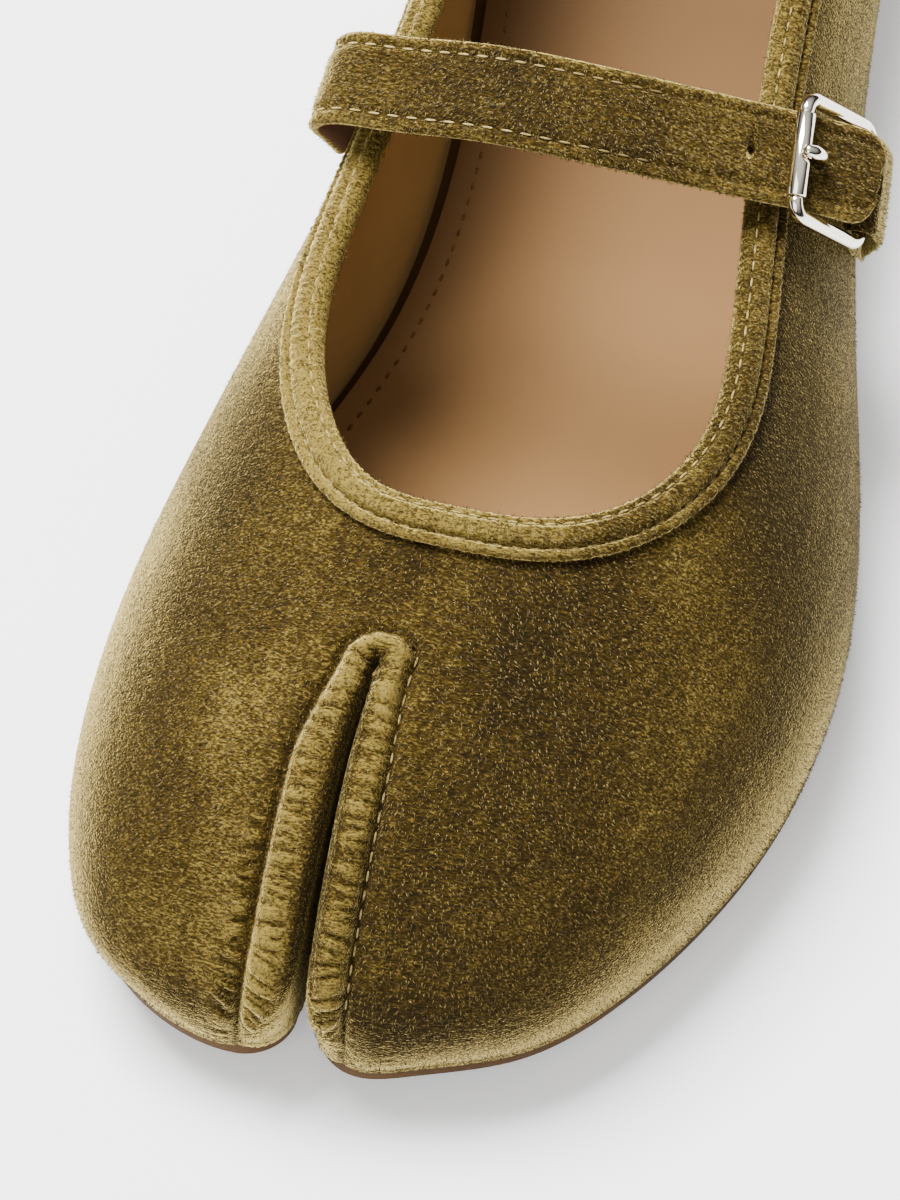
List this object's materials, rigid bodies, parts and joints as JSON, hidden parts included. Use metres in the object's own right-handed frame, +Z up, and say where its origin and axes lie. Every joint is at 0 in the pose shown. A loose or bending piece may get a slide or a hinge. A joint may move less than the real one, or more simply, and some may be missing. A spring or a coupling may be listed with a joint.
{
  "type": "split-toe mary jane shoe",
  "caption": "Left split-toe mary jane flat: hollow velvet upper with a bound collar, thin leather sole, low block heel, instep strap and roller buckle.",
  "frame": {"origin": "on the floor, below the middle of the shoe's box", "axes": "+Z up from the floor, -Y towards the toe along the shoe's axis, +X towards the outer side of the left foot"},
  "size_m": [0.0872, 0.243, 0.0672],
  "materials": {
    "outsole": "smooth brown sole leather",
    "heel": "stacked brown leather",
    "insole": "smooth tan lining leather",
    "upper": "olive velvet",
    "topline_binding": "olive velvet",
    "strap": "olive velvet with a leather lining",
    "buckle_tab": "olive velvet",
    "buckle_frame": "polished nickel",
    "buckle_roller": "polished nickel",
    "buckle_prong": "polished nickel"
  },
  "bodies": {
    "root": {"outsole": "outsole", "heel": "heel", "insole": "insole", "upper": "upper", "topline_binding": "topline_binding", "strap": "strap", "buckle_tab": "buckle_tab", "buckle_frame": "buckle_frame", "buckle_roller": "buckle_roller", "buckle_prong": "buckle_prong"}
  },
  "joints": []
}
